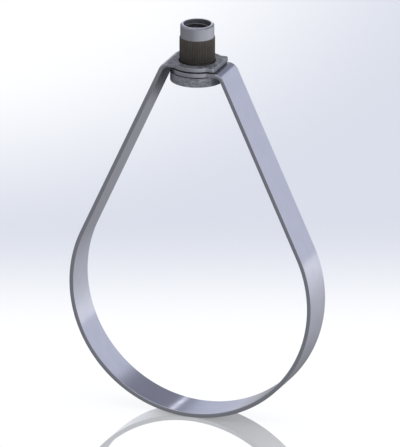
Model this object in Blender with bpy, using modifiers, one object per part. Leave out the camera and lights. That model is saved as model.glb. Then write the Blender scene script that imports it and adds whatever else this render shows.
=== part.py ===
"""Swivel ring hanger for a 4 in pipe.

One steel strip is cut flat, pierced with two eyes and bent into a pear-shaped band. The eyes lie
one over the other on a turned nut, whose flange carries them, so that the band swivels on the nut
and the nut screws onto a threaded rod. The origin is the mouth of the thread, in the middle of the
nut's top face. Z is up along the rod, X lies in the band's plane and Y runs along the pipe.
"""

import math

import bmesh
import bpy
from mathutils import Vector

MM = 0.001

# Nut, in metres
ROD_DIAMETER = 12.7 * MM
THREAD_CLEARANCE = 0.05 * MM
NUT_WALL = 1.55 * MM
NECK_LENGTH = 6.2 * MM
KNURL_LENGTH = 11.8 * MM
KNURL_DEPTH = 0.38 * MM
KNURL_PITCH = 0.8 * MM
FLANGE_LAP = 4.05 * MM
FLANGE_THICKNESS = 4.4 * MM
NECK_CHAMFER = 0.7 * MM
FLANGE_CHAMFER = 0.25 * MM

# Band, in metres
RING_RADIUS = 58.15 * MM
RING_DROP = 108.7 * MM
STRIP_WIDTH = 19.05 * MM
STRIP_THICKNESS = 2.0 * MM
BEND_RADIUS = 3.2 * MM
EYE_RIM = 3.85 * MM
END_CORNER = 1.5 * MM
EDGE_EASE = 0.25 * MM

# Clearances, in metres
EYE_CLEARANCE = 0.32 * MM
SEAT_CLEARANCE = 0.3 * MM
STRAP_GAP = 0.7 * MM
LEG_CLEARANCE = 0.35 * MM

# Number of flats that stand for each round stretch
RING_FACETS = 75
BEND_FACETS = 8
EYE_FACETS = 64
CORNER_FACETS = 5

# Radii of the nut and of what fits round it
BORE_RADIUS = ROD_DIAMETER / 2 + THREAD_CLEARANCE
NECK_RADIUS = BORE_RADIUS + NUT_WALL
KNURL_RADIUS = NECK_RADIUS + KNURL_DEPTH
HOLE_RADIUS = KNURL_RADIUS + EYE_CLEARANCE
EYE_RADIUS = HOLE_RADIUS + EYE_RIM
FLANGE_RADIUS = HOLE_RADIUS + FLANGE_LAP

# Heights, counted down from the top of the nut
KNURL_TOP = -NECK_LENGTH
KNURL_BOTTOM = KNURL_TOP - KNURL_LENGTH
LOWER_STRAP = KNURL_BOTTOM - 2 * STRIP_THICKNESS - STRAP_GAP
FLANGE_TOP = LOWER_STRAP - SEAT_CLEARANCE
FLANGE_BOTTOM = FLANGE_TOP - FLANGE_THICKNESS
UPPER_STRAP = LOWER_STRAP + STRIP_THICKNESS + STRAP_GAP

PARTS = "swivel_ring_hanger"
CUTTERS = "cutters"

STEEL = ("galvanised_strip", (0.46, 0.47, 0.54, 1.0), 0.34, 0.9)
NUT_STEEL = ("plated_nut", (0.42, 0.43, 0.48, 1.0), 0.36, 0.9)
KNURL_STEEL = ("blackened_knurl", (0.035, 0.03, 0.026, 1.0), 0.5, 0.6)


def clear_scene():
    for item in list(bpy.data.objects):
        bpy.data.objects.remove(item, do_unlink=True)
    for name in (PARTS, CUTTERS):
        group = bpy.data.collections.new(name)
        bpy.context.scene.collection.children.link(group)


def material(name, color, roughness, metallic):
    finish = bpy.data.materials.new(name)
    finish.use_nodes = True
    shader = finish.node_tree.nodes["Principled BSDF"]
    shader.inputs["Base Color"].default_value = color
    shader.inputs["Roughness"].default_value = roughness
    shader.inputs["Metallic"].default_value = metallic
    return finish


def add_object(name, mesh, group):
    item = bpy.data.objects.new(name, mesh)
    bpy.data.collections[group].objects.link(item)
    if group == CUTTERS:
        item.hide_render = True
        item.display_type = "WIRE"
    return item


def evaluated_mesh(item, name):
    """A plain mesh of the object with its modifiers applied."""
    bpy.context.view_layer.update()
    graph = bpy.context.evaluated_depsgraph_get()
    mesh = bpy.data.meshes.new_from_object(item.evaluated_get(graph))
    mesh.name = name
    return mesh


def smooth(mesh):
    mesh.shade_smooth()
    mesh.set_sharp_from_angle(angle=math.radians(30))


def arc(center, radius, start, end, facets):
    """Points from one angle to another, both in radians, round a centre."""
    turn = (end - start) / facets
    return [
        (
            center[0] + radius * math.cos(start + turn * step),
            center[1] + radius * math.sin(start + turn * step),
        )
        for step in range(facets + 1)
    ]


# Shape of the band, seen from the front


def chord(depth):
    """How far past its centre line a bend's inner face reaches, at a depth below its crown."""
    return math.sqrt(BEND_RADIUS**2 - (BEND_RADIUS - depth) ** 2)


def lean_past(reach, height):
    """Lean of a leg that leaves the ring at a tangent and ends in a bend centred at this reach and height."""
    span = math.hypot(reach, height)
    return math.atan2(height, reach) - math.acos((RING_RADIUS - BEND_RADIUS) / span)


LOWER_BEND_HEIGHT = RING_DROP - BEND_RADIUS
UPPER_BEND_HEIGHT = LOWER_BEND_HEIGHT + UPPER_STRAP - LOWER_STRAP

# The legs stand just clear of the lower eye's free end on one side and of the flange on the other.
LEG_LEAN = min(
    lean_past(EYE_RADIUS + LEG_CLEARANCE - chord(STRAP_GAP), UPPER_BEND_HEIGHT),
    lean_past(FLANGE_RADIUS + LEG_CLEARANCE - chord(SEAT_CLEARANCE), LOWER_BEND_HEIGHT),
)


def bend_reach(height):
    """Distance from the nut's axis to the centre of a bend at this height above the ring's centre."""
    return (RING_RADIUS - BEND_RADIUS - height * math.sin(LEG_LEAN)) / math.cos(LEG_LEAN)


def leg_length(height):
    """Straight length between the ring and the bend at this height."""
    return math.sqrt(bend_reach(height) ** 2 + height**2 - (RING_RADIUS - BEND_RADIUS) ** 2)


def walk():
    """The band's inner face as (length, radius, facets) runs, from the lower eye's centre, right,
    down, round the ring and back up to the upper eye's centre. Radius None is a straight run."""
    bend = math.pi / 2 - LEG_LEAN
    ring = math.pi + 2 * LEG_LEAN
    return [
        (bend_reach(LOWER_BEND_HEIGHT), None, 1),
        (bend * BEND_RADIUS, BEND_RADIUS, BEND_FACETS),
        (leg_length(LOWER_BEND_HEIGHT), None, 1),
        (ring * RING_RADIUS, RING_RADIUS, RING_FACETS),
        (leg_length(UPPER_BEND_HEIGHT), None, 1),
        (bend * BEND_RADIUS, BEND_RADIUS, BEND_FACETS),
        (bend_reach(UPPER_BEND_HEIGHT), None, 1),
    ]


UPPER_EYE_ALONG = sum(length for length, radius, facets in walk())
STRIP_END_ALONG = UPPER_EYE_ALONG + bend_reach(LOWER_BEND_HEIGHT)


def bend_lines():
    """Places along the flat strip where it folds: the start of each run and the flats of each curve."""
    lines = []
    start = 0.0
    for length, radius, facets in walk():
        lines += [start + length * step / facets for step in range(facets)]
        start += length
    return lines[1:]


def spoke(heading):
    """Direction straight out of the band's outer face where the strip runs at this heading."""
    return Vector((-math.sin(heading), 0.0, math.cos(heading)))


def advance(place, heading, radius, length):
    """Place and heading after a length of a straight run or of a curve that turns inwards."""
    if radius is None:
        return place + Vector((math.cos(heading), 0.0, math.sin(heading))) * length, heading
    turned = heading - length / radius
    return place + (spoke(turned) - spoke(heading)) * radius, turned


def path():
    """The walk laid out from the lower eye's centre: how far along each run starts, its radius, and the
    place and heading there."""
    runs = []
    along, place, heading = 0.0, Vector((0.0, 0.0, 0.0)), 0.0
    for length, radius, facets in walk():
        runs.append((along, radius, place, heading))
        place, heading = advance(place, heading, radius, length)
        along += length
    return runs


PATH = path()


def folded(point):
    """Where a point of the flat strip comes to lie. X runs along the strip, Y across it, and Z is the
    height above the face that turns inwards."""
    passed = [run for run in PATH if run[0] <= point.x]
    along, radius, place, heading = passed[-1] if passed else PATH[0]
    place, heading = advance(place, heading, radius, point.x - along)
    place = place + spoke(heading) * point.z
    return Vector((place.x, point.y, place.z))


# The band's flat blank


def blank_outline():
    """Outline of the flat strip: a round eye, the plain strip, the upper eye's two ears, a square end."""
    half = STRIP_WIDTH / 2
    shoulder = math.asin(half / EYE_RADIUS)
    ear_facets = EYE_FACETS // 6
    upper = arc((0.0, 0.0), EYE_RADIUS, math.pi, shoulder, EYE_FACETS // 2 - ear_facets)
    upper += arc((UPPER_EYE_ALONG, 0.0), EYE_RADIUS, math.pi - shoulder, shoulder, ear_facets)
    corner = (STRIP_END_ALONG - END_CORNER, half - END_CORNER)
    upper += arc(corner, END_CORNER, math.pi / 2, 0.0, CORNER_FACETS)
    lower = [(along, -across) for along, across in upper[1:]]
    return lower + upper[::-1]


def flat_blank():
    """The strip before it is bent: cut to its outline, pierced by two eyes, its edges eased."""
    sheet = bmesh.new()
    sheet.faces.new([sheet.verts.new((x, y, 0.0)) for x, y in blank_outline()])
    mesh = bpy.data.meshes.new("flat_blank")
    sheet.to_mesh(mesh)
    sheet.free()
    blank = add_object("flat_blank", mesh, CUTTERS)
    wall = blank.modifiers.new("thickness", "SOLIDIFY")
    wall.thickness = STRIP_THICKNESS
    wall.offset = 1.0
    for name, along in (("lower_eye", 0.0), ("upper_eye", UPPER_EYE_ALONG)):
        pierce = blank.modifiers.new(name, "BOOLEAN")
        pierce.operation = "DIFFERENCE"
        pierce.solver = "EXACT"
        pierce.object = punch(name + "_punch", along)
    ease = blank.modifiers.new("eased_edges", "BEVEL")
    ease.width = EDGE_EASE
    ease.segments = 1
    ease.limit_method = "ANGLE"
    ease.angle_limit = math.radians(60)
    return blank


def punch(name, along):
    """A round tool that pierces an eye through the flat strip."""
    tool = bmesh.new()
    bmesh.ops.create_cone(
        tool,
        cap_ends=True,
        segments=EYE_FACETS,
        radius1=HOLE_RADIUS,
        radius2=HOLE_RADIUS,
        depth=3 * STRIP_THICKNESS,
    )
    mesh = bpy.data.meshes.new(name)
    tool.to_mesh(mesh)
    tool.free()
    item = add_object(name, mesh, CUTTERS)
    item.location = (along, 0.0, STRIP_THICKNESS / 2)
    return item


def build_band():
    """The flat blank bent to its pear shape. Its origin lies on the swivel axis, under the lower eye."""
    mesh = evaluated_mesh(flat_blank(), "band")
    strip = bmesh.new()
    strip.from_mesh(mesh)
    for along in bend_lines():
        bmesh.ops.bisect_plane(
            strip,
            geom=strip.verts[:] + strip.edges[:] + strip.faces[:],
            dist=0.001 * MM,
            plane_co=(along, 0.0, 0.0),
            plane_no=(1.0, 0.0, 0.0),
        )
    for vertex in strip.verts:
        vertex.co = folded(vertex.co)
    strip.to_mesh(mesh)
    strip.free()
    smooth(mesh)
    mesh.materials.append(material(*STEEL))
    band = add_object("band", mesh, PARTS)
    band.location.z = LOWER_STRAP
    return band


# The nut


def nut_profile():
    """The nut's section as (radius, height) points, down its outside and back up the bore."""
    return [
        (BORE_RADIUS, 0.0),
        (NECK_RADIUS - NECK_CHAMFER, 0.0),
        (NECK_RADIUS, -NECK_CHAMFER),
        (NECK_RADIUS, KNURL_TOP),
        (KNURL_RADIUS, KNURL_TOP - KNURL_DEPTH),
        (KNURL_RADIUS, KNURL_BOTTOM + KNURL_DEPTH),
        (NECK_RADIUS, KNURL_BOTTOM),
        (NECK_RADIUS, FLANGE_TOP),
        (FLANGE_RADIUS - FLANGE_CHAMFER, FLANGE_TOP),
        (FLANGE_RADIUS, FLANGE_TOP - FLANGE_CHAMFER),
        (FLANGE_RADIUS, FLANGE_BOTTOM + FLANGE_CHAMFER),
        (FLANGE_RADIUS - FLANGE_CHAMFER, FLANGE_BOTTOM),
        (BORE_RADIUS, FLANGE_BOTTOM),
    ]


def turned_nut(teeth):
    """The nut as it leaves the lathe, with two columns of faces for each tooth to come."""
    points = nut_profile()
    edges = [(number, (number + 1) % len(points)) for number in range(len(points))]
    mesh = bpy.data.meshes.new("nut_profile")
    mesh.from_pydata([(radius, 0.0, height) for radius, height in points], edges, [])
    profile = add_object("nut_profile", mesh, CUTTERS)
    lathe = profile.modifiers.new("lathe", "SCREW")
    lathe.axis = "Z"
    lathe.angle = math.radians(360)
    lathe.steps = 2 * teeth
    lathe.render_steps = lathe.steps
    lathe.use_merge_vertices = True
    lathe.merge_threshold = 0.001 * MM
    return profile


def build_nut():
    """The turned nut with a straight knurl: every second column of the knurled length is pressed in."""
    teeth = round(2 * math.pi * KNURL_RADIUS / KNURL_PITCH)
    column = math.pi / teeth
    mesh = evaluated_mesh(turned_nut(teeth), "swivel_nut")
    crest = (NECK_RADIUS + KNURL_RADIUS) / 2
    for vertex in mesh.vertices:
        radius = math.hypot(vertex.co.x, vertex.co.y)
        place = round(math.atan2(vertex.co.y, vertex.co.x) / column)
        if vertex.co.z > KNURL_BOTTOM and radius > crest and place % 2:
            vertex.co.x *= NECK_RADIUS / radius
            vertex.co.y *= NECK_RADIUS / radius
    mesh.materials.clear()
    mesh.materials.append(material(*NUT_STEEL))
    mesh.materials.append(material(*KNURL_STEEL))
    for face in mesh.polygons:
        outside = math.hypot(face.center.x, face.center.y) > (BORE_RADIUS + NECK_RADIUS) / 2
        knurled = KNURL_BOTTOM < face.center.z < KNURL_TOP
        face.material_index = int(outside and knurled)
    smooth(mesh)
    return add_object("swivel_nut", mesh, PARTS)


clear_scene()
build_band()
build_nut()
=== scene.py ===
# %% [markdown]
# A swivel ring hanger carries a pipe in a pear-shaped band of steel strip. The band hangs by its two
# eyes on a knurled, flanged nut, and the nut screws onto a threaded rod. The construction comes first,
# as a fixed frame: every piece below is fitted to it, and none of it is moved or resized.

# %% Load the fixed frame
import math

import bmesh
import bpy
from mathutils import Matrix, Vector


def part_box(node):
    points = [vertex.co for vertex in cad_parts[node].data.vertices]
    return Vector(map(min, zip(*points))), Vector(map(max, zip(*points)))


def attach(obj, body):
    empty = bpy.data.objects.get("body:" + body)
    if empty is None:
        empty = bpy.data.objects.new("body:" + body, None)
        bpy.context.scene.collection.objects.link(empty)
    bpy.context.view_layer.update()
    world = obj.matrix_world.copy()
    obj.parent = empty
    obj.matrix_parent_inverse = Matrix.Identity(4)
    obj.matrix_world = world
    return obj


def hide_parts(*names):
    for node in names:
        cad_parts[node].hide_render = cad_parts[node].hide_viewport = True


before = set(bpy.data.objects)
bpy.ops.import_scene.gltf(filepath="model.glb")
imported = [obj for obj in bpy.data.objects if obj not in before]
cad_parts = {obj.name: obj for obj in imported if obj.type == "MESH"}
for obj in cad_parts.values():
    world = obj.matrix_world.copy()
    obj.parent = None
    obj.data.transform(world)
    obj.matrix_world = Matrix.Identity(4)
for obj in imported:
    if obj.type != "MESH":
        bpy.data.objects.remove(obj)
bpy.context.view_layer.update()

# %% [markdown]
# Sizes that the frame shows are read from it, so the looks stay on the construction. The widest point of
# the band is its ring, the widest of the nut is its flange, and the steepest long face of the band is the
# outside of a leg. What the boxes can't show, such as the strip's thickness, is a size of its own.

# %% Sizes
MM = 0.001
INCH = 25.4 * MM
STRIP_WIDTH = 19.05 * MM
STRIP_THICKNESS = 2.0 * MM
STRAP_GAP = 0.7 * MM
BEND_RADIUS = 3.2 * MM
EYE_RIM = 3.85 * MM
END_CORNER = 1.5 * MM
EDGE_EASE = 0.2 * MM
ROD_DIAMETER = 12.7 * MM
THREAD_CLEARANCE = 0.05 * MM
THREADS_PER_INCH = 13
NUT_WALL = 1.55 * MM
NECK_LENGTH = 6.2 * MM
KNURL_LENGTH = 11.8 * MM
KNURL_DEPTH = 0.38 * MM
KNURL_PITCH = 0.8 * MM
NECK_CHAMFER = 0.7 * MM
FLANGE_THICKNESS = 4.4 * MM

band_low, band_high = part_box("band")
nut_low, nut_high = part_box("swivel_nut")
RING_OUTSIDE = (band_high.x - band_low.x) / 2
RING_RADIUS = RING_OUTSIDE - STRIP_THICKNESS
RING_CENTRE = band_low.z + RING_OUTSIDE
EYE_RADIUS = (band_high.y - band_low.y) / 2
HOLE_RADIUS = EYE_RADIUS - EYE_RIM
UPPER_STRAP = band_high.z - STRIP_THICKNESS
LOWER_STRAP = UPPER_STRAP - STRAP_GAP - STRIP_THICKNESS
FLANGE_RADIUS = (nut_high.y - nut_low.y) / 2
BORE_RADIUS = ROD_DIAMETER / 2 + THREAD_CLEARANCE
NECK_RADIUS = BORE_RADIUS + NUT_WALL
KNURL_RADIUS = NECK_RADIUS + KNURL_DEPTH
KNURL_TOP = nut_high.z - NECK_LENGTH
KNURL_BOTTOM = KNURL_TOP - KNURL_LENGTH
FLANGE_TOP = nut_low.z + FLANGE_THICKNESS
print(f"ring {2 * RING_RADIUS / MM:.1f} mm inside, centre at {RING_CENTRE / MM:.1f} mm")


LEG_NORMAL_RANGE = (0.8, 0.97)


def leg_lean():
    """Lean of the legs from upright, read from the largest face that looks up and out to the right."""
    low, high = LEG_NORMAL_RANGE
    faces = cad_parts["band"].data.polygons
    legs = [face for face in faces if low < face.normal.x < high and face.normal.z > 0.0]
    outside = max(legs, key=lambda face: face.area)
    return math.atan2(outside.normal.z, outside.normal.x)


LEG_LEAN = leg_lean()
print(f"legs lean {math.degrees(LEG_LEAN):.2f} degrees from upright")

# %% [markdown]
# Both node editors are filled by script in the same way: add a node, set its values, join its sockets.
# Small helpers keep each tree short enough to read as a recipe. The first makes any node, the next six
# make what most trees need, and the last three make a group, a material and an object.

# %% Helpers
SOFT = "SMOOTHSTEP"


def add(tree, kind, links=None, **settings):
    """A node of this kind. Settings are its own values, and links fills its inputs by name or number
    with an output socket of another node or with a plain value."""
    node = tree.nodes.new(kind)
    for key, value in settings.items():
        setattr(node, key, value)
    for key, value in (links or {}).items():
        if isinstance(value, bpy.types.NodeSocket):
            tree.links.new(value, node.inputs[key])
        else:
            node.inputs[key].default_value = value
    return node


def math_node(tree, operation, first, second=0.0):
    """The output of a Math node."""
    return add(tree, "ShaderNodeMath", {0: first, 1: second}, operation=operation).outputs[0]


def vector_node(tree, operation, first, second):
    """The output of a Vector Math node. Where it scales, the second value is a number."""
    key = "Scale" if operation == "SCALE" else 1
    return add(tree, "ShaderNodeVectorMath", {0: first, key: second}, operation=operation).outputs[0]


def axes(tree, vector):
    """The x, y and z of a vector."""
    return add(tree, "ShaderNodeSeparateXYZ", {0: vector}).outputs


def distance(tree, x, y):
    """How far x and y lie from zero together."""
    squares = math_node(tree, "ADD", math_node(tree, "POWER", x, 2.0), math_node(tree, "POWER", y, 2.0))
    return math_node(tree, "SQRT", squares)


def map_range(tree, value, low, high, start=0.0, end=1.0, kind="LINEAR"):
    """A value that goes from start to end while the given one goes from low to high."""
    links = {"Value": value, "From Min": low, "From Max": high, "To Min": start, "To Max": end}
    return add(tree, "ShaderNodeMapRange", links, interpolation_type=kind).outputs[0]


def mix_colour(tree, share, first, second):
    """The first colour where the share is 0, and the second where it is 1."""
    return add(tree, "ShaderNodeMix", {0: share, 6: first, 7: second}, data_type="RGBA").outputs[2]


def group(name, kind, inputs, outputs):
    """A node group with these sockets by name and type, its input node's sockets and its output node."""
    tree = bpy.data.node_groups.new(name, kind)
    for direction, sockets in (("INPUT", inputs), ("OUTPUT", outputs)):
        for socket, value in sockets.items():
            tree.interface.new_socket(socket, in_out=direction, socket_type="NodeSocket" + value)
    return tree, tree.nodes.new("NodeGroupInput").outputs, tree.nodes.new("NodeGroupOutput")


def new_material(name):
    """A new material, its tree and its Principled shader."""
    material = bpy.data.materials.new(name)
    material.use_nodes = True
    return material, material.node_tree, material.node_tree.nodes["Principled BSDF"]


def add_object(name, data):
    """A new object in the scene for this mesh, curve, lamp or camera."""
    item = bpy.data.objects.new(name, data)
    bpy.context.scene.collection.objects.link(item)
    return item


print("helpers ready")

# %% [markdown]
# Steel sheet that has been through a zinc bath is bright but never quite even. The zinc freezes in soft
# patches, and the rolls leave fine streaks along the strip. One node group makes both, from a place on
# the piece that the material hands in, so strip and nut can share it at their own scale. It gives out a
# colour, a roughness and a height, and the shader itself stays in the material.

# %% Shared finish: patches and streaks of worked metal
GLOSS_SWING = -0.5


def worked_metal():
    """Soft patches that change tint and gloss, with fine streaks that run along the place's first axis."""
    inputs = {"Place": "Vector", "Tint": "Color", "Gloss Roughness": "Float", "Patch Size": "Float",
              "Patch Depth": "Float", "Streak Width": "Float", "Streak Length": "Float",
              "Streak Depth": "Float"}
    outputs = {"Color": "Color", "Roughness": "Float", "Height": "Float"}
    tree, given, out = group("worked_metal", "ShaderNodeTree", inputs, outputs)
    place = given["Place"]
    patch_scale = math_node(tree, "DIVIDE", 1.0, given["Patch Size"])
    cells = add(tree, "ShaderNodeTexVoronoi", {"Vector": place, "Scale": patch_scale}, feature="SMOOTH_F1")
    cloud = add(tree, "ShaderNodeTexNoise", {"Vector": place, "Scale": patch_scale, "Detail": 2.0})
    cell_tone = add(tree, "ShaderNodeSeparateColor", {0: cells.outputs["Color"]}).outputs[0]
    patch = math_node(tree, "DIVIDE", math_node(tree, "ADD", cell_tone, cloud.outputs["Fac"]), 2.0)
    along = math_node(tree, "DIVIDE", 1.0, given["Streak Length"])
    across = math_node(tree, "DIVIDE", 1.0, given["Streak Width"])
    stretch = add(tree, "ShaderNodeCombineXYZ", {0: along, 1: across, 2: across}).outputs[0]
    drawn = vector_node(tree, "MULTIPLY", place, stretch)
    streak = add(tree, "ShaderNodeTexNoise", {"Vector": drawn, "Scale": 1.0, "Detail": 3.0}).outputs["Fac"]
    patch_swing = math_node(tree, "MULTIPLY", math_node(tree, "SUBTRACT", patch, 0.5), given["Patch Depth"])
    streak_swing = math_node(tree, "MULTIPLY", math_node(tree, "SUBTRACT", streak, 0.5),
                             given["Streak Depth"])
    swing = math_node(tree, "ADD", patch_swing, streak_swing)
    shade = vector_node(tree, "SCALE", given["Tint"], math_node(tree, "ADD", swing, 1.0))
    gloss_swing = math_node(tree, "MULTIPLY", swing, GLOSS_SWING)
    gloss = math_node(tree, "ADD", given["Gloss Roughness"], gloss_swing)
    tree.links.new(shade, out.inputs["Color"])
    tree.links.new(gloss, out.inputs["Roughness"])
    tree.links.new(streak, out.inputs["Height"])
    return tree


WORKED_METAL = worked_metal()
print("shared finish:", WORKED_METAL.name, "with", len(WORKED_METAL.nodes), "nodes")

# %% [markdown]
# The band is pressed from one flat blank: a strip with an eye at each end. Drawing the blank flat and
# bending it afterwards, as the press does, keeps its true developed length. So the bends come first, as
# straight runs and arcs whose lengths add up to the blank's. Each leg leaves the ring at a tangent and
# ends in the arc of a bend, so its length follows from a right-angled triangle.

# %% Route of the bends
RING_FACETS = 240
BEND_FACETS = 24
LEG_FACETS = 48
STRAP_FACETS = 12


def bend_reach(height):
    """Distance from the nut's axis to the centre of the bend at this height over the ring's centre."""
    return (RING_RADIUS - BEND_RADIUS - height * math.sin(LEG_LEAN)) / math.cos(LEG_LEAN)


def leg_length(height):
    """Straight length between the ring and the bend at this height."""
    return math.sqrt(bend_reach(height) ** 2 + height**2 - (RING_RADIUS - BEND_RADIUS) ** 2)


def route():
    """The band's inner face as (length, turning radius, facets) runs from the lower eye, down the right
    leg, round the ring and up to the upper eye. A radius of None is a straight run."""
    lower = LOWER_STRAP - BEND_RADIUS - RING_CENTRE
    upper = UPPER_STRAP - BEND_RADIUS - RING_CENTRE
    bend = (math.pi / 2 - LEG_LEAN) * BEND_RADIUS
    return [
        (bend_reach(lower), None, STRAP_FACETS),
        (bend, BEND_RADIUS, BEND_FACETS),
        (leg_length(lower), None, LEG_FACETS),
        ((math.pi + 2 * LEG_LEAN) * RING_RADIUS, RING_RADIUS, RING_FACETS),
        (leg_length(upper), None, LEG_FACETS),
        (bend, BEND_RADIUS, BEND_FACETS),
        (bend_reach(upper), None, STRAP_FACETS),
    ]


UPPER_EYE_ALONG = sum(length for length, radius, facets in route())
STRIP_END_ALONG = UPPER_EYE_ALONG + bend_reach(LOWER_STRAP - BEND_RADIUS - RING_CENTRE)
LEAD = 2 * EYE_RADIUS


def route_points():
    """The route as points in the band's plane, with a straight lead beyond each eye."""
    place, heading = Vector((-LEAD, 0.0, LOWER_STRAP)), 0.0
    points = [place.copy()]
    place = Vector((0.0, 0.0, LOWER_STRAP))
    for length, radius, facets in route():
        for step in range(facets):
            points.append(place.copy())
            turn = 0.0 if radius is None else length / facets / radius
            middle = heading - turn / 2
            stride = length / facets if radius is None else 2 * radius * math.sin(turn / 2)
            place += Vector((math.cos(middle), 0.0, math.sin(middle))) * stride
            heading -= turn
    direction = Vector((math.cos(heading), 0.0, math.sin(heading)))
    return points + [place.copy(), place + direction * LEAD]


def poly_curve(name, points, cyclic=False):
    """A curve object of straight pieces through these points."""
    curve = bpy.data.curves.new(name, "CURVE")
    curve.dimensions = "3D"
    spline = curve.splines.new("POLY")
    spline.points.add(len(points) - 1)
    for spot, point in zip(spline.points, points):
        spot.co = (*point, 1.0)
    spline.use_cyclic_u = cyclic
    return add_object(name, curve)


band_route = poly_curve("band_route", route_points())
print(f"developed length between eyes {UPPER_EYE_ALONG / MM:.1f} mm")
print("route ends at", [round(value / MM, 3) for value in band_route.data.splines[0].points[-2].co[:3]])

# %% [markdown]
# The flat blank needs only plain tools, which is why it is made before the bends. Its outline is one
# polygon. Solidify gives it its thickness, two round punches pierce the eyes with a Boolean, and Bevel
# eases every edge. Then it is cut across at each facet of each bend, so that it can follow them.

# %% The flat blank
EYE_FACETS = 128
EAR_FACETS = EYE_FACETS // 6
CORNER_FACETS = 8
EASE_FACETS = 3
EASED_FROM = math.radians(60)
CUT_TOLERANCE = 0.0001 * MM


def arc(centre, radius, start, end, facets):
    """Points round a centre from one angle to another, in radians."""
    turn = (end - start) / facets
    angles = [start + turn * step for step in range(facets + 1)]
    return [(centre[0] + radius * math.cos(angle), centre[1] + radius * math.sin(angle))
            for angle in angles]


def blank_outline():
    """Outline of the flat strip: a round eye, the plain strip, two ears at the upper eye, a square end."""
    half = STRIP_WIDTH / 2
    shoulder = math.asin(half / EYE_RADIUS)
    corner = (STRIP_END_ALONG - END_CORNER, half - END_CORNER)
    upper = arc((0.0, 0.0), EYE_RADIUS, math.pi, shoulder, EYE_FACETS // 2 - EAR_FACETS)
    upper += arc((UPPER_EYE_ALONG, 0.0), EYE_RADIUS, math.pi - shoulder, shoulder, EAR_FACETS)
    upper += arc(corner, END_CORNER, math.pi / 2, 0.0, CORNER_FACETS)
    lower = [(along, -across) for along, across in upper[1:]]
    return lower + upper[::-1]


def mesh_from(shape, name):
    """A mesh with the contents of an edit mesh, which is freed."""
    mesh = bpy.data.meshes.new(name)
    shape.to_mesh(mesh)
    shape.free()
    return mesh


def baked_mesh(item, name):
    """A plain mesh of the object with its modifiers applied."""
    bpy.context.view_layer.update()
    graph = bpy.context.evaluated_depsgraph_get()
    mesh = bpy.data.meshes.new_from_object(item.evaluated_get(graph))
    mesh.name = name
    return mesh


def remove_objects(*items):
    """Takes helper objects out of the scene once their work is done."""
    for item in items:
        bpy.data.objects.remove(item, do_unlink=True)


def punch(name, along):
    """A round tool that pierces an eye through the flat strip."""
    tool = bmesh.new()
    bmesh.ops.create_cone(tool, cap_ends=True, segments=EYE_FACETS, radius1=HOLE_RADIUS,
                          radius2=HOLE_RADIUS, depth=3 * STRIP_THICKNESS)
    item = add_object(name, mesh_from(tool, name))
    item.location = (along, 0.0, STRIP_THICKNESS / 2)
    return item


def cut_across(mesh):
    """Cuts the flat blank at each facet of each run of the route."""
    strip = bmesh.new()
    strip.from_mesh(mesh)
    start = 0.0
    for length, radius, facets in route():
        for step in range(facets if radius else 1):
            if start + step:
                place = (start + length * step / facets, 0.0, 0.0)
                bmesh.ops.bisect_plane(strip, geom=strip.verts[:] + strip.edges[:] + strip.faces[:],
                                       dist=CUT_TOLERANCE, plane_co=place, plane_no=(1.0, 0.0, 0.0))
        start += length
    strip.to_mesh(mesh)
    strip.free()
    mesh.shade_smooth()


def flat_blank():
    """The pierced blank, its edges eased, cut across wherever it will bend."""
    sheet = bmesh.new()
    sheet.faces.new([sheet.verts.new((x, y, 0.0)) for x, y in blank_outline()])
    blank = add_object("flat_blank", mesh_from(sheet, "flat_blank"))
    wall = blank.modifiers.new("thickness", "SOLIDIFY")
    wall.thickness = STRIP_THICKNESS
    wall.offset = 1.0
    tools = [punch("lower_eye", 0.0), punch("upper_eye", UPPER_EYE_ALONG)]
    for tool in tools:
        pierce = blank.modifiers.new(tool.name, "BOOLEAN")
        pierce.operation = "DIFFERENCE"
        pierce.object = tool
    ease = blank.modifiers.new("eased_edges", "BEVEL")
    ease.width = EDGE_EASE
    ease.segments = EASE_FACETS
    ease.limit_method = "ANGLE"
    ease.angle_limit = EASED_FROM
    mesh = baked_mesh(blank, "flat_blank")
    remove_objects(blank, *tools)
    cut_across(mesh)
    return add_object("band", mesh)


blank = flat_blank()
print(f"flat blank: {len(blank.data.polygons)} faces, square end at {STRIP_END_ALONG / MM:.1f} mm")

# %% [markdown]
# A finish follows the metal as it was made. The strip's was there before the strip was bent, so its
# pattern is laid out on the flat blank, by an attribute that the bending will store. The nut's follows the
# lathe tool, so its place is the way round the axis, the height and the radius. Five finishes share that
# one, so it is a node group too.

# %% Places that the finishes follow
FLAT_PLACE = "flat_place"


def place_on_blank(tree):
    """Where a point lay on the flat strip, in metres: along, across and through."""
    return add(tree, "ShaderNodeAttribute", attribute_name=FLAT_PLACE).outputs["Vector"]


def round_axis():
    """Place on a turned piece: the way round the upright axis at one radius, then height and radius."""
    tree, given, out = group("round_axis", "ShaderNodeTree", {"Pattern Radius": "Float"},
                             {"Place": "Vector"})
    x, y, z = axes(tree, add(tree, "ShaderNodeTexCoord").outputs["Object"])
    around = math_node(tree, "MULTIPLY", math_node(tree, "ARCTAN2", y, x), given["Pattern Radius"])
    place = add(tree, "ShaderNodeCombineXYZ", {0: around, 1: z, 2: distance(tree, x, y)})
    tree.links.new(place.outputs[0], out.inputs["Place"])
    return tree


ROUND_AXIS = round_axis()


def place_round_axis(tree):
    """Where a point lies on the nut, in metres: round the neck, up and out from the axis."""
    links = {"Pattern Radius": NECK_RADIUS}
    return add(tree, "ShaderNodeGroup", links, node_tree=ROUND_AXIS).outputs["Place"]


print(f"once round the neck is {2 * math.pi * NECK_RADIUS / MM:.1f} mm of pattern")

# %% [markdown]
# Every finish here is one recipe with its own values: a Principled shader fed by the shared group. The
# streaks also stand up a little, through a Bump node. Worked metal never gleams as clean as glass at its
# edges, so the shader's specular tint and level are held down.

# %% Recipe of a finish
EDGE_GLOSS = (0.75, 0.76, 0.80)
DULL_GLOSS = 0.2


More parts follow.
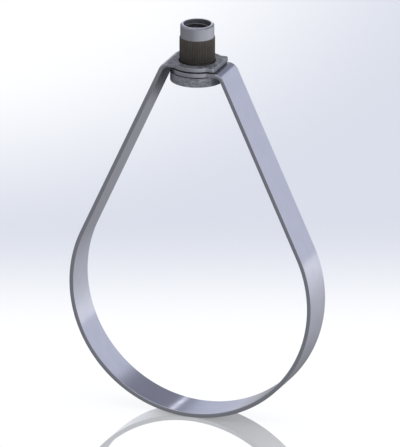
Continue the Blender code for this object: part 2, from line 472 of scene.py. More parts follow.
def finish(name, place, tint, roughness, patches, streaks, relief, metallic=1.0):
    """A Principled material over the shared finish. Patches are (size, depth), streaks (width, length,
    depth), and relief is the height of the streaks, all sizes in metres."""
    material, tree, shader = new_material(name)
    shader.inputs["Metallic"].default_value = metallic
    shader.inputs["Specular Tint"].default_value = (*EDGE_GLOSS, 1.0)
    shader.inputs["Specular IOR Level"].default_value = DULL_GLOSS
    values = {"Place": place(tree), "Tint": (*tint, 1.0), "Gloss Roughness": roughness,
              "Patch Size": patches[0], "Patch Depth": patches[1], "Streak Width": streaks[0],
              "Streak Length": streaks[1], "Streak Depth": streaks[2]}
    worked = add(tree, "ShaderNodeGroup", values, node_tree=WORKED_METAL).outputs
    bump = add(tree, "ShaderNodeBump", {"Height": worked["Height"], "Strength": 1.0, "Distance": relief})
    tree.links.new(worked["Color"], shader.inputs["Base Color"])
    tree.links.new(worked["Roughness"], shader.inputs["Roughness"])
    tree.links.new(bump.outputs["Normal"], shader.inputs["Normal"])
    return material


print("a clean finish reflects", EDGE_GLOSS, "at its edges")

# %% [markdown]
# Use changes a finish in places, and shade is painted into its colour in others. Round the eyes, where the
# straps lie together and the nut turns, the zinc is rubbed dull and grainy, and its colour is darkened
# there as painted shade round the nut. The corner under the upper strap gets the darkest painted shade,
# which clears down its leg, and the knurl's colour is darker towards its foot and lighter at its top, as
# painted shade. Each of these works over what already feeds the shader, so it can be added to any finish.

# %% Wear and painted shade of a finish
DULL_AND_SHADE_REACH = 11.6 * MM
DULL_AND_SHADE_FADE = 0.9 * MM
STRAP_GRAIN = 1.2 * MM
STRAP_MOTTLE = 1.6
CORNER_SHADE_REACH = 14.5 * MM
CORNER_SHADE_FADE = 19 * MM


def scale_colour(material, factor):
    """Multiplies what feeds the shader's colour by the output of another node."""
    tree = material.node_tree
    colour = tree.nodes["Principled BSDF"].inputs["Base Color"]
    bright = colour.links[0].from_socket
    tree.links.new(vector_node(tree, "SCALE", bright, factor), colour)


def from_upper_eye(tree, along):
    """Distance along the flat strip from the upper eye, either way."""
    return math_node(tree, "ABSOLUTE", math_node(tree, "SUBTRACT", along, UPPER_EYE_ALONG))


def rub_dull_and_shade(material, tint, roughness, metallic):
    """Takes the strip's gloss down round both eyes and darkens its colour there as painted shade, with a
    fine grain that fades out along the strip."""
    tree = material.node_tree
    shader = tree.nodes["Principled BSDF"]
    place = place_on_blank(tree)
    along = axes(tree, place)[0]
    from_eye = math_node(tree, "MINIMUM", math_node(tree, "ABSOLUTE", along), from_upper_eye(tree, along))
    shaded_and_rubbed = map_range(tree, from_eye, DULL_AND_SHADE_REACH, DULL_AND_SHADE_REACH + DULL_AND_SHADE_FADE, 1.0, 0.0, SOFT)
    grain_and_shade = add(tree, "ShaderNodeGroup",
                {"Place": place, "Tint": (*tint, 1.0), "Patch Size": STRAP_GRAIN,
                 "Patch Depth": STRAP_MOTTLE, "Streak Width": STRAP_GRAIN, "Streak Length": STRAP_GRAIN,
                 "Streak Depth": 1.0}, node_tree=WORKED_METAL).outputs["Color"]
    # The grain's dark tint paints shade into the colour round the eyes, as well as giving a real grain.
    bright = shader.inputs["Base Color"].links[0].from_socket
    colour = mix_colour(tree, shaded_and_rubbed, bright, vector_node(tree, "MULTIPLY", bright, grain_and_shade))
    gloss = shader.inputs["Roughness"].links[0].from_socket
    matt = math_node(tree, "ADD", gloss, math_node(tree, "MULTIPLY", shaded_and_rubbed, roughness))
    metal = math_node(tree, "SUBTRACT", 1.0, math_node(tree, "MULTIPLY", shaded_and_rubbed, 1.0 - metallic))
    tree.links.new(colour, shader.inputs["Base Color"])
    tree.links.new(matt, shader.inputs["Roughness"])
    tree.links.new(metal, shader.inputs["Metallic"])


def paint_corner_shade(material, tone):
    """Paints shade into the colour of the inner face in the corner under the upper strap, fading out down
    its leg.
    """
    tree = material.node_tree
    flat = axes(tree, place_on_blank(tree))
    from_eye = from_upper_eye(tree, flat[0])
    dimming = map_range(tree, from_eye, CORNER_SHADE_REACH, CORNER_SHADE_REACH + CORNER_SHADE_FADE, tone, 1.0)
    inside = math_node(tree, "LESS_THAN", flat[2], STRIP_THICKNESS / 2)
    loss = math_node(tree, "MULTIPLY", math_node(tree, "SUBTRACT", dimming, 1.0), inside)
    scale_colour(material, math_node(tree, "ADD", loss, 1.0))


def paint_shade_by_height(material, foot, top):
    """Scales a finish's colour by height as painted shade, from one tone at the knurl's foot to another at
    its top.
    """
    tree = material.node_tree
    height = axes(tree, add(tree, "ShaderNodeTexCoord").outputs["Object"])[2]
    scale_colour(material, map_range(tree, height, KNURL_BOTTOM, KNURL_TOP, foot, top))


print(f"rubbed dull up to {(DULL_AND_SHADE_REACH + DULL_AND_SHADE_FADE) / MM:.1f} mm from the middle of each eye")

# %% [markdown]
# Eight finishes cover the hanger. The strip's faces are zinc coated. Its edges were slit from a wider coil
# after coating, so they show duller steel, and its square end was sheared off darker still. The nut is
# turned and plated, with streaks that run round it. Its mouth is faced bright, and that brightness holds
# a painted highlight. Its flange and the chamfer of its neck are dull and mottled. Its knurl is blackened,
# and its thread is bare, oily steel.

# %% Finishes of the hanger
FLANGE_GRAIN = 0.7 * MM
ZINC_FACE = finish("zinc_face", place_on_blank, tint=(0.45, 0.46, 0.54), roughness=0.14,
                   patches=(5 * MM, 0.10), streaks=(0.25 * MM, 40 * MM, 0.10), relief=0.002 * MM)
# Round the eyes the gloss is rubbed dull, and the darker tint there is painted shade round the nut.
rub_dull_and_shade(ZINC_FACE, tint=(0.30, 0.30, 0.29), roughness=0.30, metallic=0.35)
# Painted shade: the inner face in the corner under the upper strap is darkened in the colour.
paint_corner_shade(ZINC_FACE, tone=0.06)
SLIT_EDGE = finish("slit_edge", place_on_blank, tint=(0.355, 0.365, 0.41), roughness=0.32,
                   patches=(2 * MM, 0.15), streaks=(1.5 * MM, 0.2 * MM, 0.15), relief=0.01 * MM)
SHEARED_END = finish("sheared_end", place_on_blank, tint=(0.205, 0.21, 0.235), roughness=0.42,
                     patches=(2 * MM, 0.20), streaks=(0.2 * MM, 1.5 * MM, 0.20), relief=0.01 * MM)
TURNED_STEEL = finish("turned_steel", place_round_axis, tint=(0.385, 0.395, 0.45), roughness=0.33,
                      patches=(3 * MM, 0.08), streaks=(0.12 * MM, 20 * MM, 0.15), relief=0.003 * MM)
DULL_FLANGE = finish("dull_flange", place_round_axis, tint=(0.30, 0.31, 0.345), roughness=0.6,
                     patches=(FLANGE_GRAIN, 0.9), streaks=(0.12 * MM, 20 * MM, 0.15), relief=0.003 * MM)
# The faced rim's tint is brighter than plated steel: faced metal with a painted highlight in its colour.
FACED_RIM_HIGHLIGHT = finish("faced_rim_highlight", place_round_axis, tint=(0.80, 0.81, 0.86), roughness=0.22,
                   patches=(3 * MM, 0.06), streaks=(0.12 * MM, 20 * MM, 0.10), relief=0.003 * MM)
DARK_KNURL = finish("dark_knurl", place_round_axis, tint=(0.072, 0.065, 0.058), roughness=0.55,
                    patches=(2 * MM, 0.30), streaks=(0.15 * MM, 1 * MM, 0.20), relief=0.01 * MM,
                    metallic=0.25)
# Painted shade: the knurl's colour is darker towards its foot and lighter at its top.
paint_shade_by_height(DARK_KNURL, foot=0.62, top=1.12)
THREAD_STEEL = finish("thread_steel", place_round_axis, tint=(0.16, 0.165, 0.175), roughness=0.5,
                      patches=(2 * MM, 0.20), streaks=(0.1 * MM, 8 * MM, 0.20), relief=0.005 * MM,
                      metallic=0.8)
print("finishes:", sorted(bpy.data.materials.keys()))

# %% [markdown]
# Bending follows a rule: each point of the blank keeps its height over the inner face and its place across
# the strip, and moves to the spot on the route that lies as far along. Geometry Nodes can say just that.
# The tree first stores where each point lay, for the finish, and marks the slit edges by their slope.
# Then it samples the route and sets the points out from it.

# %% Tree that bends the blank
EDGE_MARK = "slit_edge"
EDGE_SLOPE = 0.5


def bend_tree():
    """A tree that sets a flat blank out from a route and gives its faces, edges and end their finish."""
    inputs = {"Geometry": "Geometry", "Route": "Object", "Lead": "Float", "Edge Slope": "Float",
              "End Along": "Float", "Face Finish": "Material", "Edge Finish": "Material",
              "End Finish": "Material"}
    tree, given, out = group("bend_to_route", "GeometryNodeTree", inputs, {"Geometry": "Geometry"})
    place = add(tree, "GeometryNodeInputPosition").outputs[0]
    stored = add(tree, "GeometryNodeStoreNamedAttribute",
                 {"Geometry": given["Geometry"], "Name": FLAT_PLACE}, data_type="FLOAT_VECTOR")
    tree.links.new(place, stored.inputs["Value"])
    normal = add(tree, "GeometryNodeInputNormal").outputs[0]
    level = math_node(tree, "ABSOLUTE", axes(tree, normal)[2])
    is_edge = add(tree, "FunctionNodeCompare", {0: level, 1: given["Edge Slope"]}, operation="LESS_THAN")
    marked = add(tree, "GeometryNodeStoreNamedAttribute",
                 {"Geometry": stored.outputs[0], "Name": EDGE_MARK}, data_type="BOOLEAN", domain="FACE")
    tree.links.new(is_edge.outputs[0], marked.inputs["Value"])
    bent = bent_place(tree, given, axes(tree, place))
    moved = add(tree, "GeometryNodeSetPosition", {"Geometry": marked.outputs[0], "Position": bent})
    real = add(tree, "GeometryNodeRealizeInstances", {0: moved.outputs[0]})
    faces = add(tree, "GeometryNodeSetMaterial",
                {"Geometry": real.outputs[0], "Material": given["Face Finish"]})
    on_edge = add(tree, "GeometryNodeInputNamedAttribute", {"Name": EDGE_MARK},
                  data_type="BOOLEAN").outputs["Attribute"]
    edges = add(tree, "GeometryNodeSetMaterial",
                {"Geometry": faces.outputs[0], "Selection": on_edge, "Material": given["Edge Finish"]})
    on_flat = add(tree, "GeometryNodeInputNamedAttribute", {"Name": FLAT_PLACE},
                  data_type="FLOAT_VECTOR").outputs["Attribute"]
    beyond = add(tree, "FunctionNodeCompare", {0: axes(tree, on_flat)[0], 1: given["End Along"]},
                 operation="GREATER_THAN")
    at_end = add(tree, "FunctionNodeBooleanMath", {0: on_edge, 1: beyond.outputs[0]}, operation="AND")
    end = add(tree, "GeometryNodeSetMaterial",
              {"Geometry": edges.outputs[0], "Selection": at_end.outputs[0],
               "Material": given["End Finish"]})
    tree.links.new(end.outputs[0], out.inputs[0])
    return tree


def bent_place(tree, given, flat):
    """The bent place of a point that lies at flat: along, across and through the blank."""
    curve = add(tree, "GeometryNodeObjectInfo", {"Object": given["Route"]}).outputs["Geometry"]
    sample = add(tree, "GeometryNodeSampleCurve", {"Curves": curve}, mode="LENGTH", use_all_curves=True)
    tree.links.new(math_node(tree, "ADD", flat[0], given["Lead"]), sample.inputs["Length"])
    heading = axes(tree, sample.outputs["Tangent"])
    inward = math_node(tree, "MULTIPLY", heading[2], -1.0)
    outward = add(tree, "ShaderNodeCombineXYZ", {0: inward, 2: heading[0]}).outputs[0]
    sideways = add(tree, "ShaderNodeCombineXYZ", {1: flat[1]}).outputs[0]
    offset = vector_node(tree, "ADD", vector_node(tree, "SCALE", outward, flat[2]), sideways)
    return vector_node(tree, "ADD", sample.outputs["Position"], offset)


BEND_TO_ROUTE = bend_tree()
print("bending takes", len(BEND_TO_ROUTE.nodes), "nodes")

# %% [markdown]
# Now the tree works on the blank as a modifier, and its result is kept as a plain mesh. Weighted normals
# come last: on real strip the flat faces stay mirror-flat right up to the eased edge, and they need to
# rule the shading here too. The finished piece rides on the ring's body and stands in for its solid.

# %% Bend the blank


def run_tree(item, tree, values):
    """Adds the tree as a modifier and sets its named inputs by their identifiers."""
    modifier = item.modifiers.new(tree.name, "NODES")
    modifier.node_group = tree
    for socket in tree.interface.items_tree:
        if socket.in_out == "INPUT" and socket.name in values:
            modifier[socket.identifier] = values[socket.name]


def even_gloss(item):
    """Lets the large flat faces rule the shading, so the eased edges don't bend the gloss beside them."""
    weighting = item.modifiers.new("even_gloss", "WEIGHTED_NORMAL")
    weighting.mode = "FACE_AREA"
    weighting.keep_sharp = True


def finished_piece(source, name, body, node):
    """The source's result as a plain mesh at the origin, riding on a body in place of a frame node."""
    mesh = baked_mesh(source, name)
    remove_objects(source)
    for number in reversed(range(len(mesh.materials))):
        if mesh.materials[number] is None:
            mesh.materials.pop(index=number)
    piece = add_object(name, mesh)
    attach(piece, body)
    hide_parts(node)
    print(name, len(mesh.polygons), "faces, finishes:", [material.name for material in mesh.materials])


run_tree(blank, BEND_TO_ROUTE,
         {"Route": band_route, "Lead": LEAD, "Edge Slope": EDGE_SLOPE,
          "End Along": STRIP_END_ALONG - STRIP_THICKNESS / 4, "Face Finish": ZINC_FACE,
          "Edge Finish": SLIT_EDGE, "End Finish": SHEARED_END})
even_gloss(blank)
finished_piece(blank, "pear_band", "ring", "band")
remove_objects(band_route)

# %% [markdown]
# The nut is a turning, so its section is drawn once and spun about the axis by a Screw modifier. Corners
# that the lathe tool leaves sharp are eased with a Bevel on the section's points before it is spun.

# %% Turn the nut
NUT_FACETS = 192
NUT_EASE = 0.12 * MM
MOUTH_CHAMFER = 0.2 * MM
SEAM_GAP = 0.001 * MM
KNURL_ROOT = 0.02 * MM


def nut_section():
    """The nut's section as (radius, height) points, down the outside and back up the bore."""
    return [
        (BORE_RADIUS + MOUTH_CHAMFER, nut_high.z),
        (NECK_RADIUS - NECK_CHAMFER, nut_high.z),
        (NECK_RADIUS, nut_high.z - NECK_CHAMFER),
        (NECK_RADIUS, KNURL_TOP),
        (NECK_RADIUS + KNURL_ROOT, KNURL_TOP),
        (NECK_RADIUS + KNURL_ROOT, KNURL_BOTTOM),
        (NECK_RADIUS, KNURL_BOTTOM),
        (NECK_RADIUS, FLANGE_TOP),
        (FLANGE_RADIUS, FLANGE_TOP),
        (FLANGE_RADIUS, nut_low.z),
        (BORE_RADIUS + MOUTH_CHAMFER, nut_low.z),
        (BORE_RADIUS, nut_low.z + MOUTH_CHAMFER),
        (BORE_RADIUS, nut_high.z - MOUTH_CHAMFER),
    ]


def turned_nut():
    """The nut without its knurl and thread, spun from its section."""
    points = nut_section()
    edges = [(number, (number + 1) % len(points)) for number in range(len(points))]
    mesh = bpy.data.meshes.new("nut_section")
    mesh.from_pydata([(radius, 0.0, height) for radius, height in points], edges, [])
    section = add_object("nut_section", mesh)
    ease = section.modifiers.new("eased_corners", "BEVEL")
    ease.affect = "VERTICES"
    ease.width = NUT_EASE
    ease.segments = EASE_FACETS
    lathe = section.modifiers.new("lathe", "SCREW")
    lathe.axis = "Z"
    lathe.angle = 2 * math.pi
    lathe.steps = NUT_FACETS
    lathe.render_steps = NUT_FACETS
    lathe.use_merge_vertices = True
    lathe.merge_threshold = SEAM_GAP
    lathe.use_smooth_shade = True
    mesh = baked_mesh(section, "turned_nut")
    remove_objects(section)
    return add_object("turned_nut", mesh)


def nut_finish(place):
    """The finish of the nut's surface at this place."""
    radius = math.hypot(place.x, place.y)
    if KNURL_BOTTOM < place.z < KNURL_TOP and radius > (BORE_RADIUS + NECK_RADIUS) / 2:
        return DARK_KNURL
    if radius < BORE_RADIUS + NUT_EASE:
        return THREAD_STEEL
    if place.z > nut_high.z - NUT_EASE:
        return FACED_RIM_HIGHLIGHT
    if place.z < FLANGE_TOP or place.z > nut_high.z - NECK_CHAMFER + NUT_EASE:
        return DULL_FLANGE
    return TURNED_STEEL


def paint_nut(mesh):
    """Gives each face of the turned nut its finish."""
    finishes = [TURNED_STEEL, DARK_KNURL, THREAD_STEEL, FACED_RIM_HIGHLIGHT, DULL_FLANGE]
    mesh.materials.clear()
    for material in finishes:
        mesh.materials.append(material)
    for face in mesh.polygons:
        face.material_index = finishes.index(nut_finish(face.center))


nut = turned_nut()
paint_nut(nut.data)
print("turned nut:", len(nut.data.polygons), "faces")

# %% [markdown]
# A knurl is one tooth repeated round the nut, and a thread is one section that follows a helix. Both are
# drawn once here. The tooth is a long ridge with sloping ends, as a knurling wheel leaves it. The thread's
# flanks lean 30 degrees each way, and its depth and its crest are shares of the pitch.

# %% One knurl tooth and the thread's section
FLANK_LEAN = math.radians(30)
DEPTH_SHARE = 0.54
CREST_SHARE = 0.25
THREAD_PITCH = INCH / THREADS_PER_INCH
THREAD_DEPTH = DEPTH_SHARE * THREAD_PITCH
THREAD_CREST = CREST_SHARE * THREAD_PITCH
THREAD_FLANK = THREAD_DEPTH * math.tan(FLANK_LEAN)
TEETH = round(2 * math.pi * KNURL_RADIUS / KNURL_PITCH)
TOOTH_FOOT = 0.1 * MM


def knurl_tooth():
    """One straight tooth on the X side of the nut: a long ridge with sloping ends."""
    half = math.pi * NECK_RADIUS / TEETH
    foot = NECK_RADIUS - TOOTH_FOOT
    tooth = bmesh.new()
    base = [tooth.verts.new((foot, side * half, height))
            for side, height in ((-1, KNURL_TOP), (1, KNURL_TOP), (1, KNURL_BOTTOM), (-1, KNURL_BOTTOM))]
    ridge = [tooth.verts.new((KNURL_RADIUS, 0.0, height))
             for height in (KNURL_TOP - KNURL_DEPTH, KNURL_BOTTOM + KNURL_DEPTH)]
    for corners in (base, (base[0], base[1], ridge[0]), (base[2], base[3], ridge[1]),
                    (base[1], base[2], ridge[1], ridge[0]), (base[3], base[0], ridge[0], ridge[1])):
        tooth.faces.new(corners)
    bmesh.ops.recalc_face_normals(tooth, faces=tooth.faces[:])
    return add_object("knurl_tooth", mesh_from(tooth, "knurl_tooth"))


def thread_section():
    """One tooth of the nut's thread as a closed section. X points away from the axis, Y along it."""
    foot = THREAD_CREST / 2 + THREAD_FLANK
    crest = -THREAD_DEPTH
    return [(THREAD_CLEARANCE, foot, 0.0), (crest, THREAD_CREST / 2, 0.0),
            (crest, -THREAD_CREST / 2, 0.0), (THREAD_CLEARANCE, -foot, 0.0)]


tooth = knurl_tooth()
section = poly_curve("thread_section", thread_section(), cyclic=True)
print(f"thread {THREAD_DEPTH / MM:.2f} mm deep at a pitch of {THREAD_PITCH / MM:.2f} mm")

# %% [markdown]
# Repeating and sweeping are natural work for Geometry Nodes. The teeth are instances on points, turned by
# their number. The thread is a Spiral swept with the section, and it thins out to nothing at both mouths,
# as a tap leaves it. Both join the turned nut, which then stands in for the nut's solid.

# %% Knurl and thread the nut
TURN_FACETS = 64
RUNOUT_SHARE = 0.10
RUNOUT_START = 0.02


def knurl_and_thread_tree():
    """A tree that adds a ring of teeth and a tapped thread to a turned nut."""
    inputs = {"Geometry": "Geometry", "Tooth": "Object", "Teeth": "Int", "Thread Section": "Object",
              "Thread Radius": "Float", "Thread Length": "Float", "Pitch": "Float",
              "Thread Start": "Vector", "Knurl Finish": "Material", "Thread Finish": "Material"}
    tree, given, out = group("knurl_and_thread", "GeometryNodeTree", inputs, {"Geometry": "Geometry"})
    teeth = add(tree, "GeometryNodePoints", {"Count": given["Teeth"]})
    step = math_node(tree, "DIVIDE", 2 * math.pi, given["Teeth"])
    number = add(tree, "GeometryNodeInputIndex").outputs[0]
    turn = add(tree, "ShaderNodeCombineXYZ", {2: math_node(tree, "MULTIPLY", number, step)})
    tooth = add(tree, "GeometryNodeObjectInfo", {"Object": given["Tooth"]}).outputs["Geometry"]
    ring = add(tree, "GeometryNodeInstanceOnPoints",
               {"Points": teeth.outputs[0], "Instance": tooth, "Rotation": turn.outputs[0]})
    turns = math_node(tree, "DIVIDE", given["Thread Length"], given["Pitch"])
    helix = add(tree, "GeometryNodeCurveSpiral",
                {"Resolution": TURN_FACETS, "Rotations": turns, "Start Radius": given["Thread Radius"],
                 "End Radius": given["Thread Radius"], "Height": given["Thread Length"],
                 "Reverse": True})
    upright = add(tree, "GeometryNodeSetCurveNormal", {"Curve": helix.outputs[0]}, mode="Z_UP")
    share = add(tree, "GeometryNodeSplineParameter").outputs["Factor"]
    from_end = math_node(tree, "MINIMUM", share, math_node(tree, "SUBTRACT", 1.0, share))
    runout = map_range(tree, from_end, 0.0, RUNOUT_SHARE, RUNOUT_START)
    profile = add(tree, "GeometryNodeObjectInfo", {"Object": given["Thread Section"]}).outputs["Geometry"]
    swept = add(tree, "GeometryNodeCurveToMesh",
                {"Curve": upright.outputs[0], "Profile Curve": profile, "Scale": runout, "Fill Caps": True})
    placed = add(tree, "GeometryNodeTransform",
                 {"Geometry": swept.outputs[0], "Translation": given["Thread Start"]})
    painted = []
    for shape, paint in ((ring, "Knurl Finish"), (placed, "Thread Finish")):
        real = add(tree, "GeometryNodeRealizeInstances", {0: shape.outputs[0]})
        painted.append(add(tree, "GeometryNodeSetMaterial",
                           {"Geometry": real.outputs[0], "Material": given[paint]}))
    whole = add(tree, "GeometryNodeJoinGeometry")
    for source in (painted[1].outputs[0], painted[0].outputs[0], given["Geometry"]):
        tree.links.new(source, whole.inputs[0])
    tree.links.new(whole.outputs[0], out.inputs[0])
    return tree


run_tree(nut, knurl_and_thread_tree(),
         {"Tooth": tooth, "Teeth": TEETH, "Thread Section": section, "Thread Radius": BORE_RADIUS,
          "Thread Length": nut_high.z - nut_low.z - THREAD_PITCH, "Pitch": THREAD_PITCH,
          "Thread Start": (0.0, 0.0, nut_low.z + THREAD_PITCH / 2),
          "Knurl Finish": DARK_KNURL, "Thread Finish": THREAD_STEEL})
even_gloss(nut)
finished_piece(nut, "turned_swivel_nut", "nut", "swivel_nut")
remove_objects(tooth, section)
print(f"{TEETH} teeth, {THREADS_PER_INCH} threads per inch")

# %% [markdown]
# The camera looks down a little from the front right and draws without perspective, as a parts catalogue
# does. Its scale and its aim are real lengths on the hanger.

# %% Camera
VIEW_AZIMUTH = math.radians(20.7)
VIEW_ELEVATION = math.radians(19.55)
VIEW_HEIGHT = 208.29 * MM
VIEW_AIM = Vector((1.36 * MM, 0.0, -98.82 * MM))
VIEW_DISTANCE = 1.2
VIEW_REACH = 20.0

toward_camera = Vector((math.sin(VIEW_AZIMUTH) * math.cos(VIEW_ELEVATION),
                        -math.cos(VIEW_AZIMUTH) * math.cos(VIEW_ELEVATION), math.sin(VIEW_ELEVATION)))
lens = bpy.data.cameras.new("catalogue_view")
lens.type = "ORTHO"
lens.ortho_scale = VIEW_HEIGHT
lens.clip_end = VIEW_REACH
camera = add_object("catalogue_view", lens)
camera.location = VIEW_AIM + toward_camera * VIEW_DISTANCE
camera.rotation_euler = (-toward_camera).to_track_quat("-Z", "Y").to_euler()
bpy.context.scene.camera = camera
print("camera at", [round(value, 3) for value in camera.location])

# %% [markdown]
# The hanger stands on a pale, polished floor that mirrors it faintly. The floor is a light table, lit
# mostly from beneath, so the hanger casts hardly any shadow on it. Its tone is white round the hanger and
# a cooler grey further back, with a white glow at the back left. The pattern is fixed to the floor: it's
# measured in metres behind and beside the ring's foot.

# %% Tone of the floor
WHITE = (0.995, 0.985, 0.935, 1.0)
COOL_GREY = (0.685, 0.700, 0.739, 1.0)
WASH_NEAR = 0.087
WASH_FAR = 0.272
GLOW_SIDE = -0.151
GLOW_DEPTH = 0.701
GLOW_WIDTH = 0.199
GLOW_LENGTH = 0.335
GLOW_CORE = 0.61
GLOW_RIM = 1.48


def floor_tone(tree):
    """White near the ring and at the back left, cool grey between."""
    spot = add(tree, "ShaderNodeTexCoord").outputs["Object"]
    turned = add(tree, "ShaderNodeMapping", {"Vector": spot, "Rotation": (0.0, 0.0, -VIEW_AZIMUTH)})
    side, depth = axes(tree, turned.outputs[0])[:2]
    wash = map_range(tree, depth, WASH_NEAR, WASH_FAR, kind=SOFT)
    off_side = math_node(tree, "DIVIDE", math_node(tree, "SUBTRACT", side, GLOW_SIDE), GLOW_WIDTH)
    off_depth = math_node(tree, "DIVIDE", math_node(tree, "SUBTRACT", depth, GLOW_DEPTH), GLOW_LENGTH)
    beyond_glow = map_range(tree, distance(tree, off_side, off_depth), GLOW_CORE, GLOW_RIM, kind=SOFT)
    return mix_colour(tree, math_node(tree, "MULTIPLY", wash, beyond_glow), WHITE, COOL_GREY)


print(f"the floor is white up to {WASH_NEAR / MM:.0f} mm behind the ring's foot")

# %% [markdown]
# The floor's material mixes three shaders: a matt one that takes the lamps, a glow from beneath, and a
# mirror. The metal mustn't see the floor, because it would wash out what the surround shows it, and so the
# floor is hidden from glossy rays.

# %% Floor
FLOOR_HEIGHT = band_low.z
FLOOR_SIZE = 8.0
FLOOR_MIRROR = 0.70
FLOOR_POLISH = 0.03
FLOOR_BACKLIT = 0.65
BACKLIGHT = (1.02, 1.05, 1.10)


def floor_material():
    """A pale light table with a polished top."""
    material, tree, shader = new_material("polished_floor")
    tree.nodes.remove(shader)
    tone = floor_tone(tree)
    matt = add(tree, "ShaderNodeBsdfDiffuse", {"Color": tone})
    lit = vector_node(tree, "MULTIPLY", tone, BACKLIGHT)
    glow = add(tree, "ShaderNodeEmission", {"Color": lit, "Strength": 1.0})
    pale = add(tree, "ShaderNodeMixShader", {0: FLOOR_BACKLIT, 1: matt.outputs[0], 2: glow.outputs[0]})
    mirror = add(tree, "ShaderNodeBsdfGlossy", {"Color": tone, "Roughness": FLOOR_POLISH})
    blend = add(tree, "ShaderNodeMixShader", {0: FLOOR_MIRROR, 1: pale.outputs[0], 2: mirror.outputs[0]})
    material.cycles.emission_sampling = "NONE"
    tree.links.new(blend.outputs[0], tree.nodes["Material Output"].inputs["Surface"])
    return material


def flat_sheet(name, centre, size, material):
    """A flat rectangle that lies face up, with its place in its mesh."""
    sheet = bmesh.new()
    bmesh.ops.create_grid(sheet, x_segments=1, y_segments=1, size=0.5)
    bmesh.ops.scale(sheet, verts=sheet.verts[:], vec=(size[0], size[1], 1.0))
    bmesh.ops.translate(sheet, verts=sheet.verts[:], vec=centre)
    mesh = mesh_from(sheet, name)
    mesh.materials.append(material)
    return add_object(name, mesh)


floor = flat_sheet("floor", (0.0, 0.0, FLOOR_HEIGHT), (FLOOR_SIZE, FLOOR_SIZE), floor_material())
floor.visible_glossy = False
print(f"floor at {FLOOR_HEIGHT / MM:.2f} mm")

# %% [markdown]
# Polished metal shows its surroundings more than its own colour, so the studio is arranged for what the
# band reflects. A photographer would stand white and grey cards round it. Here the world does that, by
# direction alone: a bright wall low down all round, a darker ceiling, and a white opening overhead that
# catches the eased edges. Below the horizon it is brightest at the back right and falls to grey at the
# front left.

# %% Surround
SKYLINE = -0.02
WALL_WHITE = (1.0, 1.02, 1.10)
CEILING_GREY = (0.375, 0.385, 0.44)
OPENING_WHITE = (1.3, 1.3, 1.33)
CEILING_STOPS = [(0.37, WALL_WHITE), (0.42, CEILING_GREY), (0.62, CEILING_GREY), (0.82, OPENING_WHITE)]
CEILING_LEAN = 0.08
GROUND_TONE = 0.38
GROUND_TONE_GAIN = 0.17
GROUND_SLOPE = 0.43
GROUND_SLOPE_GAIN = 0.75
GROUND_DARKEST = 0.27
GROUND_BRIGHTEST = 0.94
HORIZON_LEFT = 0.85
HORIZON_RIGHT = 1.40
HORIZON_WIDTH = 0.45
HORIZON_LOW = -0.34
HORIZON_HIGH = -0.04


def tone_ramp(tree, value, stops):
    """A colour ramp over a value from 0 to 1, with its stops given as position and colour."""
    ramp = add(tree, "ShaderNodeValToRGB", {0: value})
    points = ramp.color_ramp.elements
    for number, (position, colour) in enumerate(stops):
        point = points[number] if number < 2 else points.new(position)
        point.position = position
        point.color = (*colour, 1.0)
    return ramp.outputs[0]


def raised_by(tree, value, gain, start):
    """A tone that starts at start and gains with the value."""
    return math_node(tree, "ADD", math_node(tree, "MULTIPLY", value, gain), start)


def tone_below(tree, right, back):
    """Tone below the horizon: it rises to the right, and more so at the back."""
    behind = math_node(tree, "MAXIMUM", back, 0.0)
    slope = raised_by(tree, behind, GROUND_SLOPE_GAIN, GROUND_SLOPE)
    middle = raised_by(tree, behind, GROUND_TONE_GAIN, GROUND_TONE)
    wash = math_node(tree, "ADD", middle, math_node(tree, "MULTIPLY", right, slope))
    return math_node(tree, "MINIMUM", math_node(tree, "MAXIMUM", wash, GROUND_DARKEST), GROUND_BRIGHTEST)


def surround():
    """The studio as a world whose tone depends on direction alone."""
    world = bpy.data.worlds.new("studio_surround")
    world.use_nodes = True
    tree = world.node_tree
    right, back, up = axes(tree, add(tree, "ShaderNodeTexCoord").outputs["Generated"])
    leaning = math_node(tree, "SUBTRACT", up, math_node(tree, "MULTIPLY", right, CEILING_LEAN))
    above = tone_ramp(tree, leaning, CEILING_STOPS)
    below = tone_below(tree, right, back)
    horizon = map_range(tree, right, -HORIZON_WIDTH, HORIZON_WIDTH, HORIZON_LEFT, HORIZON_RIGHT)
    near_horizon = map_range(tree, up, HORIZON_LOW, HORIZON_HIGH, kind=SOFT)
    ground = mix_colour(tree, near_horizon, below, horizon)
    is_above = math_node(tree, "GREATER_THAN", up, SKYLINE)
    tree.links.new(mix_colour(tree, is_above, ground, above), tree.nodes["Background"].inputs["Color"])
    return world


bpy.context.scene.world = surround()
print("surround:", len(bpy.context.scene.world.node_tree.nodes), "nodes")

# %% [markdown]
# Two broad lamps are there for what is matt: one overhead for the floor, and one low on the right that
# models the dark knurl. Polished metal doesn't see them. It sees a small dark card and a narrow lamp behind
# the ring instead, which give the inside of the ring its dark patch and its bright streak.

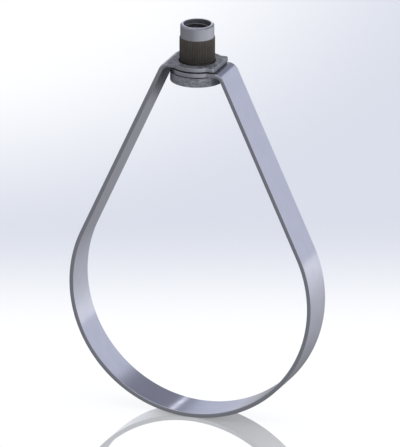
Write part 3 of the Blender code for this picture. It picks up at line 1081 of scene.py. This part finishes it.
# %% Lamps and card
LAMP_SPREAD = math.radians(60)
CARD_BLACK = (0.015, 0.015, 0.017, 1.0)


def broad_lamp(name, tilt, radiance):
    """A broad, soft lamp that makes no glint on the metal, tilted from overhead to the right."""
    lamp = bpy.data.lights.new(name, "SUN")
    lamp.energy = radiance * math.pi
    lamp.angle = LAMP_SPREAD
    item = add_object(name, lamp)
    item.rotation_euler = (0.0, math.radians(tilt), 0.0)
    item.visible_glossy = False


def strip_lamp(name, centre, size, radiance):
    """A narrow flat lamp that faces the ring, seen by the metal but not by the camera."""
    lamp = bpy.data.lights.new(name, "AREA")
    lamp.shape = "RECTANGLE"
    lamp.size, lamp.size_y = size
    lamp.energy = radiance * math.pi * size[0] * size[1]
    item = add_object(name, lamp)
    item.location = centre
    aim = Vector((0.0, 0.0, RING_CENTRE)) - Vector(centre)
    item.rotation_euler = aim.to_track_quat("-Z", "Y").to_euler()
    item.visible_camera = False


def dark_card(name, centre, size):
    """A dark card that lies face up and shows only in reflections. From below it is clear, so the
    polished floor doesn't mirror it."""
    material, tree, shader = new_material(name)
    shader.inputs["Base Color"].default_value = CARD_BLACK
    underside = add(tree, "ShaderNodeNewGeometry").outputs["Backfacing"]
    clear = add(tree, "ShaderNodeBsdfTransparent").outputs[0]
    one_sided = add(tree, "ShaderNodeMixShader", {0: underside, 1: shader.outputs[0], 2: clear})
    tree.links.new(one_sided.outputs[0], tree.nodes["Material Output"].inputs["Surface"])
    card = flat_sheet(name, centre, size, material)
    for ray in ("camera", "diffuse", "shadow", "transmission", "volume_scatter"):
        setattr(card, "visible_" + ray, False)


broad_lamp("overhead", tilt=0, radiance=0.15)
broad_lamp("right_side", tilt=84, radiance=1.2)
dark_card("bend_card", centre=(-0.035, 0.315, FLOOR_HEIGHT + 0.006), size=(0.06, 0.07))
strip_lamp("streak_lamp", centre=(-0.107, 0.4, 0.020), size=(0.009, 0.056), radiance=2.4)
print("lamps:", sorted(bpy.data.lights.keys()))

# %% [markdown]
# Colours are shown as they are written, with no film curve.

# %% Finish
bpy.context.scene.view_settings.view_transform = "Standard"
